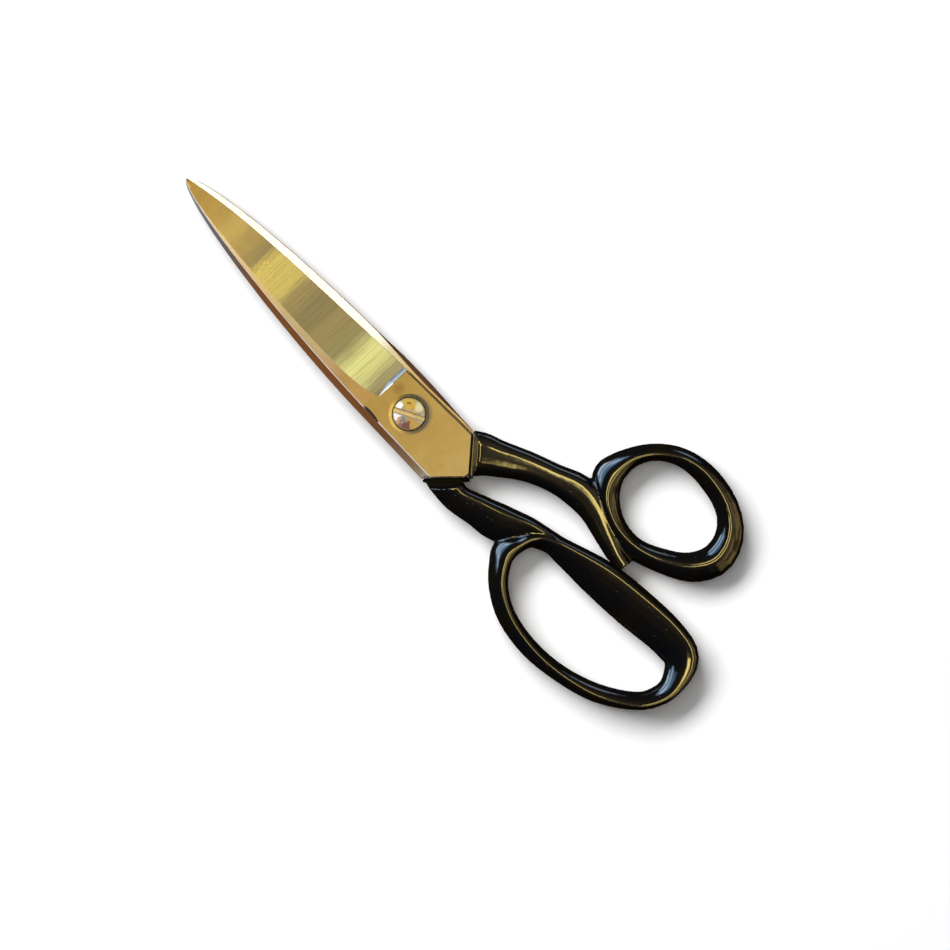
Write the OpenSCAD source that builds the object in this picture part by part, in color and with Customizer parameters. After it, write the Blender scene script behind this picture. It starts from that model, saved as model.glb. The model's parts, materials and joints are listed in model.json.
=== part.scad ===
// Fabric shears: two steel halves with cast-on handles, turning on one slotted screw.
// The pivot axis is Z at x = 0, y = 0. The table the shears lie on is z = 0.
// The blades point along -X, the handles along +X, the thumb half is the upper one.

/* [Blades] */
// Pivot axis to blade tip
blade_reach = 115.5; // [90:0.5:140]
// Thickness of each steel half at the pivot
blade_t = 4.2; // [3:0.1:5.5]
// Thickness of each blade at the tip
tip_t = 0.9; // [0.6:0.1:1.5]
// Pivot axis to the cutting side of the pivot plate
edge_w = 10.4; // [9.5:0.1:13]
// Pivot axis to the spine of the blade
spine_w = 12.6; // [11:0.1:15]
// Width of the bevel along the spine, seen from above
spine_bevel = 2.5; // [1.5:0.1:3.5]
// Narrow bevel between the polished band and the spine bevel
crown_bevel = 0.3; // [0.2:0.05:0.5]
// Width of the polished band at its pivot end
band_w = 3.5; // [2.5:0.1:4.5]
// Pivot axis to the start of the ground facet
grind_stop = 13.6; // [12.5:0.1:18]
// Length of the step where the grinding stops
grind_runout = 1.6; // [0.8:0.1:2.5]
// Height of the flat behind the cutting edge
edge_land = 0.3; // [0.2:0.05:0.6]
// Depth of the hollow ground into the inner face
hollow = 0.2; // [0.05:0.05:0.3]
// Extra width of the lower blade's rounded spine beside the pivot
spine_swell = 0.6; // [0.2:0.1:1]

/* [Pivot plate and tang] */
// Pivot axis to where the plate starts to narrow
plate_waist = 20.4; // [18:0.1:22]
// Pivot axis to the far corner of the plate
plate_end = 30.4; // [29:0.1:33]
// Gap between the two inner faces
face_gap = 0.08; // [0.05:0.01:0.1]
// Thickness of the tang inside the handle
tang_t = 2; // [1.6:0.1:3]
// Diameter of the holes that key the tang into its handle
key_d = 2.4; // [1.5:0.1:3]

/* [Pivot screw] */
// Diameter of the screw head
head_d = 11.6; // [9:0.1:14]
// Height of the screw head
head_h = 1.3; // [1:0.1:1.6]
// Width of the driver slot
slot_w = 1.45; // [1:0.05:2]
// Depth of the driver slot
slot_depth = 0.8; // [0.5:0.1:1]
// Angle of the driver slot from +X
slot_angle = 28.5; // [0:0.5:180]
// Diameter of the shoulder that the upper half turns on
shoulder_d = 7; // [6:0.1:8.5]
// Thread diameter
thread_d = 5.5; // [4.5:0.1:6]
// Radial running clearance of the upper half on the shoulder
run_clear = 0.04; // [0.02:0.01:0.08]
// Radial clearance around the head and the washer
head_clear = 0.4; // [0.2:0.05:0.6]
// Width of the dished rim around the counterbore
rim_w = 1.1; // [0.5:0.1:1.5]

/* [Washers and nut] */
// Thickness of the dished spring washer
spring_t = 0.35; // [0.25:0.05:0.5]
// Height that the spring washer is dished by
spring_dish = 0.2; // [0.1:0.05:0.3]
// Nut size across its flats
nut_af = 11; // [10:0.1:14]
// Nut height
nut_h = 2.4; // [2:0.1:3.5]
// Lock washer thickness
lock_t = 0.6; // [0.4:0.1:1]

/* [Handles] */
// Pivot axis to the far end of the finger bow
handle_reach = 138.8; // [120:0.5:170]
// Height of the rings above the table
bow_h = 11.5; // [9:0.1:13]
// How far the lip stands above the steel
lip_h = 0.6; // [0.3:0.1:1]
// Radius of the lip
lip_r = 0.9; // [0.6:0.1:1.2]
// Roundness of the crest that runs round a ring, 2 is an ellipse and less is sharper
crest_power = 1.65; // [1.4:0.05:2.5]
// Flatness of a shank's top, 2 is an ellipse and more is flatter
shank_power = 3.2; // [2:0.1:4]
// Fullness of the sides of rings and shanks, 2 is an ellipse
side_power = 2.5; // [2:0.1:3]
// How far a shank's top lies below the crests of the rings
shank_sink = 0.5; // [0.2:0.1:1.2]
// Gap at the stop lug when shut
stop_gap = 0.3; // [0.2:0.05:0.6]
// Gap between a handle and the other half's steel
swing_gap = 0.35; // [0.2:0.05:0.6]

/* [Hidden] */

// Heights above the table
lower_face_z = nut_h + lock_t;
joint_z = lower_face_z + blade_t;
upper_z = joint_z + face_gap;
upper_face_z = upper_z + blade_t;
// The dished washer and the head fill the counterbore up to the face of the plate
axial_clear = 0.03;
spring_h = spring_t + spring_dish;
bore_floor_depth = head_h + spring_h + 2 * axial_clear;
head_z = upper_face_z - head_h;
counterbore_r = head_d / 2 + head_clear;
rim_depth = 0.3;

// Colours
gold = "#bd9a55";
steel = "#b9b7ae";
black = "#1c1a16";

// Plan of the blade. s runs from 0 where the grinding stops to 1 at the tip.
ground_len = blade_reach - grind_stop;
function belly(s) = pow(max(0, 1 - pow(s, 1.7)), 0.6);
tip_w = 0.2;
// The cutting edge tapers straight and then rounds in to the tip
edge_round = 0.38;
function edge_y(s) = tip_w + (edge_w - tip_w)
    * ((1 - edge_round) * (1 - s) + edge_round * (1 - pow(s, 5)));
function spine_y(s) = -tip_w - (spine_w - tip_w) * belly(s);
crown_w = spine_w - spine_bevel;
function crown_y(s) = -tip_w / 2 - (crown_w - tip_w / 2) * belly(s);
// The ridge between facet and band turns away from the spine as it nears the step
turn_len = 0.17;
turn_w = 1.9;
function ridge_turn(s) = turn_w * pow(max(0, 1 - s / turn_len), 2);
// How much of the bevels is left: a little stays at the tip
function fade(s) = max(0.06, 1 - s);
function ridge_y(s) = crown_y(s) + (crown_bevel + band_w + 0.1) * fade(s) + ridge_turn(s);
function thick(s) = tip_t + (blade_t - tip_t) * (1 - s);

// A shallow scallop in the plate's crown edge, next to the step
scallop_x = -10.2;
scallop_len = 5;
scallop_w = 0.8;
function scallop(x) = scallop_w * pow(max(0, 1 - pow((x - scallop_x) / scallop_len, 2)), 1);

// The lower half's spine bulges and rounds over beside the pivot
swell_x = -7;
swell_len = 25;
function swell(x) = pow(max(0, 1 - pow((x - swell_x) / swell_len, 2)), 2);

// One ring of points around the steel at station x. z is 0 on the inner face, y is positive on the
// cutting side, and w is the extra width of the spine.
function blade_ring(x, s, w) = let(e = edge_y(s), r = ridge_y(s), c = crown_y(s), p = spine_y(s) - w,
                                   t = thick(s), d = hollow * fade(s), m = (e + p) / 2, b = fade(s))
    [[x, e, 0], [x, e, edge_land], [x, (e + r) / 2, (edge_land + t) / 2 + 0.05 * b], [x, r, t],
     [x, c + crown_bevel * b, t], [x, c, t - crown_bevel * 0.6 * b], [x, p, t * 0.35],
     [x, p + 2.5 * w, 0], [x, p + 2.5 * w + 0.14 * (e - p), 0], [x, m, d], [x, e - 0.08 * (e - p), 0]];
function plate_ring(x, e, p, c, w) = let(m = (e + p) / 2, t = blade_t, k = scallop(x))
    [[x, e, 0], [x, e, t], [x, e * 2 / 3 + c / 3, t], [x, e / 3 + c * 2 / 3, t],
     [x, c + crown_bevel + k, t], [x, c + k * 0.1, t - crown_bevel * 0.6], [x, p - w, t * 0.35],
     [x, p + 1.5 * w, 0], [x, p + 1.5 * w + 0.14 * (e - p), 0], [x, m, 0], [x, e - 0.08 * (e - p), 0]];
// Past its waist the plate narrows on both sides to its far corner
corner_y = 0.4;
waist_e = edge_w + 0.9;
function plate_edge(x) = x <= plate_waist
    ? edge_w - 0.4 + (waist_e - edge_w + 0.4) * (x + grind_stop) / (plate_waist + grind_stop)
    : waist_e + (corner_y - waist_e) * (x - plate_waist) / (plate_end - plate_waist);
spine_waist = plate_waist - 0.8;
function plate_spine(x) = x <= spine_waist ? -spine_w
    : -spine_w + spine_w * (x - spine_waist) / (plate_end - spine_waist);
function plate_crown(x) = max(-crown_w, plate_spine(x) + 0.03 * (plate_edge(x) - plate_spine(x)));

// The stations crowd together at the tip and at the step
tip_steps = 32;
function tip_station(i) = (1 - cos(180 * i / tip_steps)) / 2;
function station_x(i) = -grind_stop - tip_station(i) * ground_len;
function blade_rings(w) = [for (i = [tip_steps:-1:0])
    blade_ring(station_x(i), tip_station(i), w * swell(station_x(i)))];
plate_start = -grind_stop + grind_runout;
plate_stations = concat([for (i = [0:6]) max(plate_start, scallop_x - scallop_len) + i * 1.6],
                        [4, 12, spine_waist, plate_waist, spine_waist + 2, (plate_waist + plate_end) / 2,
                         plate_end - 0.6]);
function plate_rings(w) = [for (x = plate_stations)
    plate_ring(x, plate_edge(x), plate_spine(x), plate_crown(x), w * swell(x))];

// Closed skin over a row of rings with equal numbers of points, in triangles. Each end is a fan
// around the point called hub.
function skin_faces(rows, n, hub) = concat(
    [for (i = [0:rows - 2], j = [0:n - 1]) [i * n + j, (i + 1) * n + j, (i + 1) * n + (j + 1) % n]],
    [for (i = [0:rows - 2], j = [0:n - 1]) [i * n + j, (i + 1) * n + (j + 1) % n, i * n + (j + 1) % n]],
    [for (k = [1:n - 2]) [hub, (hub + k) % n, (hub + k + 1) % n]],
    let(last = (rows - 1) * n)
        [for (k = [1:n - 2]) [last + hub, last + (hub + k + 1) % n, last + (hub + k) % n]]);
ridge_point = 3;
module skin(rings) {
    n = len(rings[0]);
    polyhedron([for (ring = rings) each ring], skin_faces(len(rings), n, ridge_point));
}

// Straight-sided strip along rows of [x, y, half width]
function strip_side(rows, side) = [for (i = [0:len(rows) - 1])
    let(a = rows[max(0, i - 1)], b = rows[min(len(rows) - 1, i + 1)],
        run = [b[0] - a[0], b[1] - a[1]], d = run / norm(run))
    [rows[i][0] - side * d[1] * rows[i][2], rows[i][1] + side * d[0] * rows[i][2]]];
module strip(rows, h) {
    back = strip_side(rows, -1);
    linear_extrude(h) polygon(concat(strip_side(rows, 1), [for (i = [len(back) - 1:-1:0]) back[i]]));
}

// Tang rows of [x, y, half width], on the cutting side of each half
thumb_tang = [[22, 4.5, 3.8], [36, 13.9, 2.6], [50, 21.1, 1.7]];
finger_tang = [[21, 5.5, 3.8], [36, 7.2, 3], [50, 3.2, 2]];
tang_z = (blade_t - tang_t) / 2;
function key_at(a, b) = [(a[0] + 2 * b[0]) / 3, (a[1] + 2 * b[1]) / 3, 0];
module tang_plate(tang) difference() {
    translate([0, 0, tang_z]) strip(tang, tang_t);
    for (i = [1:2]) translate(key_at(tang[i - 1], tang[i])) cylinder(d = key_d, h = blade_t, $fn = 32);
}
module steel_body(tang, w) {
    skin(concat(blade_rings(w), plate_rings(w)));
    tang_plate(tang);
}
module upper() { translate([0, 0, upper_z]) children(); }
module lower() { translate([0, 0, joint_z]) rotate([180, 0, 0]) children(); }

module thumb_blade() color(gold) difference() {
    upper() steel_body(thumb_tang, 0);
    bore_h = blade_t + 2;
    translate([0, 0, upper_z - 1]) cylinder(r = shoulder_d / 2 + run_clear, h = bore_h, $fn = 64);
    translate([0, 0, upper_face_z - bore_floor_depth])
        cylinder(r = counterbore_r, h = bore_floor_depth + 1, $fn = 96);
    translate([0, 0, upper_face_z - rim_depth])
        cylinder(r1 = counterbore_r, r2 = counterbore_r + rim_w * 1.2, h = rim_depth * 1.2, $fn = 96);
}

module finger_blade() color(gold) difference() {
    lower() steel_body(finger_tang, spine_swell);
    translate([0, 0, lower_face_z - 1]) cylinder(d = thread_d, h = blade_t + 2, $fn = 64);
}

// Smooth path through rows of numbers, each row being [x, y, half width, lift, lean]
function blend(a, b, c, d, t) = 0.5 * (2 * b + (c - a) * t + (2 * a - 5 * b + 4 * c - d) * t * t
    + (3 * b - a - 3 * c + d) * t * t * t);
function ring_path(p, n) = let(k = len(p)) [for (i = [0:k - 1], j = [0:n - 1])
    blend(p[(i + k - 1) % k], p[i], p[(i + 1) % k], p[(i + 2) % k], j / n)];
function open_path(p, n) = let(k = len(p)) concat([for (i = [0:k - 2], j = [0:n - 1])
    blend(p[max(0, i - 1)], p[i], p[i + 1], p[min(k - 1, i + 2)], j / n)], [p[k - 1]]);

// Cross-section of a bar. Its crest leans to the left of the path by that share of the half width, and
// each side of the crest is a quarter of an oval of its own.
function root_of(v, power) = sign(v) * pow(abs(v), 2 / power);
function bar_section(w, h, lean, power) = [for (a = [0:15:345]) let(u = root_of(cos(a), power))
    [w * (lean + u * (1 - sign(u) * lean)), h * root_of(sin(a), side_power)]];

// The undersides of the rings are cut flat where they rest on the table
table_cut = 0.3;

// The sections of a bar along its path, in place. Lift runs from 0 at the rings, which stand on the
// table, to 1 at the pivot plate. grow makes the bar fatter, for cutting clearances.
function bar_ring(row, ahead, root, power, top, grow) = let(
    left = [-ahead[1], ahead[0]] / norm([ahead[0], ahead[1]]),
    low = row[3] * root[0] - (1 - row[3]) * table_cut, high = top + row[3] * (root[1] - top))
    [for (q = bar_section(row[2] + grow, (high - low) / 2 + grow, row[4], power))
        [row[0] + left[0] * q[0], row[1] + left[1] * q[0], (low + high) / 2 + q[1]]];
function open_bar(path, root, power, top, grow = 0) = let(n = len(path)) [for (i = [0:n - 1])
    bar_ring(path[i], path[min(n - 1, i + 1)] - path[max(0, i - 1)], root, power, top, grow)];
function closed_bar(path, root) = let(n = len(path)) [for (i = [0:n])
    bar_ring(path[i % n], path[(i + 1) % n] - path[(i + n - 1) % n], root, crest_power, bow_h, 0)];
module bar(rings) for (i = [1:len(rings) - 1]) hull() skin([rings[i - 1], rings[i]]);

// The handles are drawn for this reach, and stretch along X from the end of the plate
drawn_reach = 138.8;
stretch = (handle_reach - plate_end) / (drawn_reach - plate_end);
function reach(rows) = [for (r = rows) [plate_end + (r[0] - plate_end) * (r[0] > plate_end ? stretch : 1),
                                        r[1], r[2], r[3], r[4]]];

// Heights of the two shanks where they leave the pivot plate, low and high
thumb_root = [joint_z - blade_t + 0.4, upper_face_z + 0.1];
finger_root = [lower_face_z - 0.1, joint_z + blade_t - 0.4];

thumb_ring = reach([[112.8, 45.8, 5.8, 0, 0], [104.6, 58.4, 4.5, 0, 0], [89.5, 61.9, 4.1, 0, -0.1],
    [80.7, 61, 3.6, 0, 0], [74.8, 58.5, 3.2, 0, 0.2], [69.2, 53.5, 3.2, 0, 0.3], [65.7, 47, 3.7, 0, 0.3],
    [64.2, 41.5, 4.7, 0, 0.38], [64.8, 36, 5.6, 0, 0.4], [70.5, 30.6, 4.6, 0, 0], [78.5, 26.4, 3.8, 0, 0],
    [88, 25.2, 4, 0, 0.2], [98.5, 28.9, 4.3, 0, 0], [108.2, 35.4, 5.3, 0, 0.1]]);
thumb_shank = reach([[23.5, 5, 8.6, 1, 0], [28.3, 9.2, 7.8, 0.9, 0], [33.2, 12.2, 6.7, 0.75, 0],
    [42.3, 17.8, 5.5, 0.4, 0], [52, 22, 5.2, 0.15, 0], [61.3, 25, 6.2, 0, 0], [70, 24.7, 5.6, 0, 0],
    [79, 21.6, 4.3, 0, 0], [87, 19.2, 3.4, 0, 0], [92.2, 18.4, 3, 0, 0]]);
finger_bow = reach([[134.2, 2, 4.3, 0, -0.75], [130, 10.5, 6.4, 0, -0.72], [120.5, 12.3, 7.1, 0, -0.7],
    [105, 10.9, 7.7, 0, -0.66], [89, 9.1, 7.1, 0, -0.6], [74, 6.4, 4.8, 0, -0.5], [69.3, 5.5, 4, 0, -0.35],
    [64.9, 4.2, 3.4, 0, 0], [61.7, 1.2, 3.4, 0, 0.3], [60.2, -2.6, 3.4, 0, 0.45], [58.6, -8.2, 4.6, 0, 0.6],
    [60.7, -12.8, 4, 0, 0.6], [66.6, -19.2, 3.5, 0, 0.5], [76.5, -24.3, 3.4, 0, 0.4],
    [90, -26.1, 3.3, 0, 0.25], [104, -24.4, 3.1, 0, 0], [117.9, -19.7, 3.4, 0, -0.3],
    [129.3, -11.8, 3.3, 0, -0.6], [133.6, -5, 3.6, 0, -0.7]]);
finger_shank = reach([[19.5, -7.8, 4.7, 1, 0.2], [25, -7, 6.1, 1, 0.3], [33, -8.2, 5.2, 0.9, 0.45],
    [41.5, -5.8, 5.9, 0.6, 0.5], [50, -3.3, 6.9, 0.3, 0.5], [58, 1.6, 5.3, 0.12, 0.5],
    [63, 3.6, 4.6, 0.05, 0.5], [70.5, 6, 4, 0, 0.45], [82, 7.6, 5, 0, 0.4]]);

// Lip and groove across the root of a handle, along the narrowing side of the plate
root_run = [plate_end - plate_waist, corner_y - waist_e];
root_dir = root_run / norm(root_run);
root_out = [-root_dir[1], root_dir[0]];
module root_rib(out, overhang, r, z) hull() for (k = [-overhang, norm(root_run) + overhang])
    translate(concat([plate_waist, waist_e] + root_dir * k + root_out * out, z)) sphere(r = r, $fn = 24);

// What both handles leave free, drawn for a half with its inner face at z = 0: its own plate and tang,
// all that is on the plate's side of the root, and the sweep of the other half's plate
sweep_x = 12;
sweep_y = -4;
sweep_r = 20.5;
groove_out = 2.5;
module root_room(tang) {
    tang_plate(tang);
    linear_extrude(2 * blade_t) polygon([[plate_waist, waist_e], [plate_end, corner_y],
        [plate_end, -2 * waist_e], [-plate_end, -2 * waist_e], [-plate_end, 2 * waist_e],
        [plate_waist - 1, 2 * waist_e]]);
    translate([sweep_x, sweep_y, -2 * bow_h]) cylinder(r = sweep_r, h = 2 * bow_h + swing_gap, $fn = 90);
    root_rib(groove_out, 3, 0.75, blade_t + 0.45);
}
module root_lip() root_rib(lip_r, 0.3, lip_r, blade_t + lip_h - lip_r);
module below_table() translate([-handle_reach, -handle_reach, -2 * bow_h])
    cube([3 * handle_reach, 3 * handle_reach, 2 * bow_h]);

steps = 4;
bow_path = ring_path(finger_bow, steps);
// The straight beam of the bow, where the stop lug meets it
beam_path = [for (i = [steps:5 * steps]) bow_path[i]];

module thumb_handle() color(black) difference() {
    union() {
        bar(closed_bar(ring_path(thumb_ring, steps), thumb_root));
        bar(open_bar(open_path(thumb_shank, 3), thumb_root, shank_power, bow_h - shank_sink));
        upper() root_lip();
    }
    upper() root_room(thumb_tang);
    bar(open_bar(beam_path, finger_root, crest_power, bow_h, stop_gap));
    below_table();
}

module finger_handle() color(black) difference() {
    union() {
        bar(closed_bar(bow_path, finger_root));
        bar(open_bar(open_path(finger_shank, 3), finger_root, crest_power, bow_h - shank_sink));
        lower() root_lip();
    }
    lower() root_room(finger_tang);
    below_table();
}

head_edge = 0.3;
thread_edge = 0.4;
module pivot_screw() color(steel) difference() {
    rotate_extrude($fn = 96) polygon([[0, 0], [thread_d / 2 - thread_edge, 0], [thread_d / 2, thread_edge],
        [thread_d / 2, joint_z], [shoulder_d / 2, joint_z], [shoulder_d / 2, head_z], [head_d / 2, head_z],
        [head_d / 2, upper_face_z - head_edge], [head_d / 2 - head_edge, upper_face_z], [0, upper_face_z]]);
    rotate([0, 0, slot_angle]) translate([-head_d, -slot_w / 2, upper_face_z - slot_depth])
        cube([2 * head_d, slot_w, 2 * slot_depth]);
}

// The dished washer's rim stands just off the floor of the counterbore, its middle just under the head
washer_r = head_d / 2 - 0.2;
washer_bore_r = shoulder_d / 2 + 0.1;
module tension_washer() color(steel) translate([0, 0, head_z - axial_clear - spring_h])
    rotate_extrude($fn = 96) polygon([[washer_bore_r, spring_dish], [washer_r, 0], [washer_r, spring_t],
        [washer_bore_r, spring_dish + spring_t]]);

module lock_washer() color(steel) translate([0, 0, nut_h]) difference() {
    cylinder(d = nut_af, h = lock_t, $fn = 96);
    translate([0, 0, -1]) cylinder(d = thread_d, h = lock_t + 2, $fn = 64);
}

nut_corner_r = nut_af / 2 / cos(30);
nut_chamfer = nut_corner_r - nut_af / 2;
module pivot_nut() color(steel) difference() {
    intersection() {
        cylinder(r = nut_corner_r, h = nut_h, $fn = 6);
        rotate_extrude($fn = 96) polygon([[0, 0], [nut_af / 2 - 0.1, 0],
            [nut_corner_r + 0.1, nut_chamfer * 0.8], [nut_corner_r + 0.1, nut_h], [0, nut_h]]);
    }
    translate([0, 0, -1]) cylinder(d = thread_d, h = nut_h + 2, $fn = 64);
}

thumb_blade();
thumb_handle();
finger_blade();
finger_handle();
pivot_screw();
tension_washer();
lock_washer();
pivot_nut();
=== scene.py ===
import json
import math

import bpy
import numpy as np
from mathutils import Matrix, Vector

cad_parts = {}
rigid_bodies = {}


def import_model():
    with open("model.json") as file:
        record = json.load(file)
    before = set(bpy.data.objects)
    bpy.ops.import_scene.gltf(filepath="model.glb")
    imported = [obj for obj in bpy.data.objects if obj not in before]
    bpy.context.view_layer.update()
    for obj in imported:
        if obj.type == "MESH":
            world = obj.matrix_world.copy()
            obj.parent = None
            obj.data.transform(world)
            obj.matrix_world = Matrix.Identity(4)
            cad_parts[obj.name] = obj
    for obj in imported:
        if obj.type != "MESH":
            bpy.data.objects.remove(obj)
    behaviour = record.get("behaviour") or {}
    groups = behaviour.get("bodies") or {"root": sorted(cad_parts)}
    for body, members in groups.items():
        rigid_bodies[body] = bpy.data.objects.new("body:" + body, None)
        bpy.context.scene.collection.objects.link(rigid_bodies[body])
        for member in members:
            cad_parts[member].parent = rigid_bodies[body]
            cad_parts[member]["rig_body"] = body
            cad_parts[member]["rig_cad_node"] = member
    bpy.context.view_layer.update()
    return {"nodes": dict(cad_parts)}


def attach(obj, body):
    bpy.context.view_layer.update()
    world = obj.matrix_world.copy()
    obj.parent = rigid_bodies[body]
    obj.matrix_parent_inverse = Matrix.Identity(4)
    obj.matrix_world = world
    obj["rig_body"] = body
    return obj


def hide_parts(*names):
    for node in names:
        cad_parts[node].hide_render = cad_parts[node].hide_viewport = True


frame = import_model()
nodes = frame["nodes"]
mm = 0.001
bpy.ops.object.select_all(action="DESELECT")
bpy.context.scene.view_settings.view_transform = "Standard"


def linear(hexCode, alpha=1.0):
    # sRGB hex to linear light
    parts = [int(hexCode[i:i + 2], 16) / 255 for i in (1, 3, 5)]
    return tuple(c / 12.92 if c <= 0.04045 else ((c + 0.055) / 1.055) ** 2.4 for c in parts) + (alpha,)


def fill(tree, node, values):
    # values are node attributes, a ramp's stops, or sockets given a number, hex colour, socket or node
    for key, value in values.items():
        if isinstance(value, bpy.types.Node):
            value = next(s for s in value.outputs if s.enabled)
        if key == "stops":
            elements = node.color_ramp.elements
            while len(elements) < len(value):
                elements.new(0.5)
            for element, (place, tone) in zip(elements, value):
                element.position = place
            for element, (place, tone) in zip(sorted(elements, key=lambda e: e.position), value):
                element.color = linear(tone) if isinstance(tone, str) else (tone, tone, tone, 1)
        elif isinstance(key, str) and hasattr(node, key):
            setattr(node, key, value)
        elif isinstance(value, bpy.types.NodeSocket):
            tree.links.new(value, node.inputs[key])
        else:
            node.inputs[key].default_value = linear(value) if isinstance(value, str) else value


def addNode(tree, kind, settings=None, links=None):
    node = tree.nodes.new(kind)
    fill(tree, node, settings or {})
    fill(tree, node, links or {})
    return node


def newMaterial(name):
    material = bpy.data.materials.new(name)
    material.use_nodes = True
    tree = material.node_tree
    shader = tree.nodes["Principled BSDF"]
    place = addNode(tree, "ShaderNodeTexCoord").outputs["Object"]
    return material, tree, shader, place


def selectOnly(piece):
    bpy.ops.object.select_all(action="DESELECT")
    piece.hide_set(False)
    piece.select_set(True)
    bpy.context.view_layer.objects.active = piece


def copyNode(nodeName, pieceName):
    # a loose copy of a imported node, with its split vertices merged again
    piece = nodes[nodeName].copy()
    piece.data = nodes[nodeName].data.copy()
    piece.name = pieceName
    piece.data.name = pieceName
    piece.parent = None
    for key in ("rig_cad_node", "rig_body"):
        del piece[key]
    bpy.context.scene.collection.objects.link(piece)
    selectOnly(piece)
    bpy.ops.object.mode_set(mode="EDIT")
    bpy.ops.mesh.select_all(action="SELECT")
    bpy.ops.mesh.remove_doubles(threshold=0.000001)
    bpy.ops.object.mode_set(mode="OBJECT")
    if piece.data.has_custom_normals:
        bpy.ops.mesh.customdata_custom_splitnormals_clear()
    return piece


def applyModifier(piece, kind, **settings):
    modifier = piece.modifiers.new(kind.title(), kind)
    for key, value in settings.items():
        setattr(modifier, key, value)
    bpy.ops.object.modifier_apply(modifier=modifier.name)


def addSpot(tree, place, centre, radius, softness):
    # 1 inside a round spot and 0 outside it, in mm
    gap = addNode(tree, "ShaderNodeVectorMath", {"operation": "DISTANCE", 1: [c * mm for c in centre]},
                  {0: place})
    return addNode(tree, "ShaderNodeMapRange",
                   {"interpolation_type": "SMOOTHSTEP", "From Min": (radius + softness) * mm,
                    "From Max": max(0.0, radius - softness) * mm},
                   {"Value": gap.outputs["Value"]}).outputs["Result"]


def toneAlong(tree, value, stops, smooth="LINEAR"):
    # a tone that changes as value grows, stops are (place in mm, tone)
    low, high = stops[0][0], stops[-1][0]
    share = addNode(tree, "ShaderNodeMapRange", {"From Min": low * mm, "From Max": high * mm},
                    {"Value": value})
    stops = [((x - low) / (high - low), tone) for x, tone in stops]
    ramp = addNode(tree, "ShaderNodeValToRGB", {"stops": stops}, {"Fac": share.outputs["Result"]})
    ramp.color_ramp.interpolation = smooth
    return ramp.outputs["Color"]


def bevelEdges(piece, pick, width, segments, material=-1):
    # bevels the edges for which pick(middle in mm, normals of the two faces) holds
    selectOnly(piece)
    mesh = piece.data
    normals = {}
    for face in mesh.polygons:
        for key in face.edge_keys:
            normals.setdefault(key, []).append(face.normal.copy())
    bpy.ops.object.mode_set(mode="EDIT")
    bpy.ops.mesh.select_mode(type="EDGE")
    bpy.ops.mesh.select_all(action="DESELECT")
    bpy.ops.object.mode_set(mode="OBJECT")
    count = 0
    for edge in mesh.edges:
        sides = normals.get(edge.key, [])
        middle = (mesh.vertices[edge.vertices[0]].co + mesh.vertices[edge.vertices[1]].co) / 2 / mm
        if len(sides) == 2 and sides[0].angle(sides[1], 0) > 0.3 and pick(middle, *sides):
            edge.select = True
            count += 1
    bpy.ops.object.mode_set(mode="EDIT")
    bpy.ops.mesh.bevel(offset=width * mm, segments=segments, affect="EDGES", clamp_overlap=False,
                       material=material)
    bpy.ops.object.mode_set(mode="OBJECT")
    print(piece.name, count, "edges bevelled")


def mergeFlats(piece):
    # turns the triangles of each flat face into one face
    selectOnly(piece)
    bpy.ops.object.mode_set(mode="EDIT")
    bpy.ops.mesh.select_all(action="SELECT")
    bpy.ops.mesh.dissolve_limited(angle_limit=math.radians(0.2))
    bpy.ops.object.mode_set(mode="OBJECT")


# Materials

enamelLook = {"body": "#0a0b0d", "thin": "#110d07", "dust": "#6d6656", "peel": 2.6, "peelDepth": 0.03,
              "sheen": 0.27}


def makeEnamel():
    # Black stoving enamel over cast iron: a deep gloss with slight orange peel and a few specks of dust
    material, tree, shader, place = newMaterial("blackEnamelDipped")
    cloud = addNode(tree, "ShaderNodeTexNoise", {"Scale": 1 / (12 * mm), "Detail": 3.0},
                    {"Vector": place}).outputs["Fac"]
    colour = addNode(tree, "ShaderNodeValToRGB",
                     {"stops": [(0.4, enamelLook["body"]), (0.7, enamelLook["thin"])]}, {"Fac": cloud})
    dust = addNode(tree, "ShaderNodeTexVoronoi", {"Scale": 1 / (1.7 * mm)}, {"Vector": place})
    isDust = addNode(tree, "ShaderNodeValToRGB", {"stops": [(0.04, 1.0), (0.09, 0.0)]},
                     {"Fac": dust.outputs["Distance"]})
    chance = addNode(tree, "ShaderNodeSeparateColor", links={"Color": dust.outputs["Color"]}).outputs["Red"]
    isRare = addNode(tree, "ShaderNodeMath", {"operation": "GREATER_THAN", 1: 0.66}, {0: chance}).outputs[0]
    speck = addNode(tree, "ShaderNodeMath", {"operation": "MULTIPLY"}, {0: isDust, 1: isRare}).outputs[0]
    surface = addNode(tree, "ShaderNodeMix",
                      {"data_type": "RGBA", "Factor": speck, "A": colour, "B": enamelLook["dust"]})
    fill(tree, shader, {"Base Color": surface})
    rough = addNode(tree, "ShaderNodeValToRGB", {"stops": [(0.35, 0.05), (0.7, 0.1)]}, {"Fac": cloud})
    fill(tree, shader, {"Specular IOR Level": enamelLook["sheen"]})
    roughAll = addNode(tree, "ShaderNodeMix",
                       {"data_type": "RGBA", "Factor": speck, "A": rough, "B": (0.6, 0.6, 0.6, 1)})
    fill(tree, shader, {"Roughness": roughAll})
    peel = addNode(tree, "ShaderNodeTexNoise", {"Scale": 1 / (enamelLook["peel"] * mm), "Detail": 2.0},
                   {"Vector": place}).outputs["Fac"]
    bump = addNode(tree, "ShaderNodeBump", {"Strength": 0.4, "Distance": enamelLook["peelDepth"] * mm},
                   {"Height": peel})
    fill(tree, shader, {"Normal": bump.outputs["Normal"]})
    return material


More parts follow.
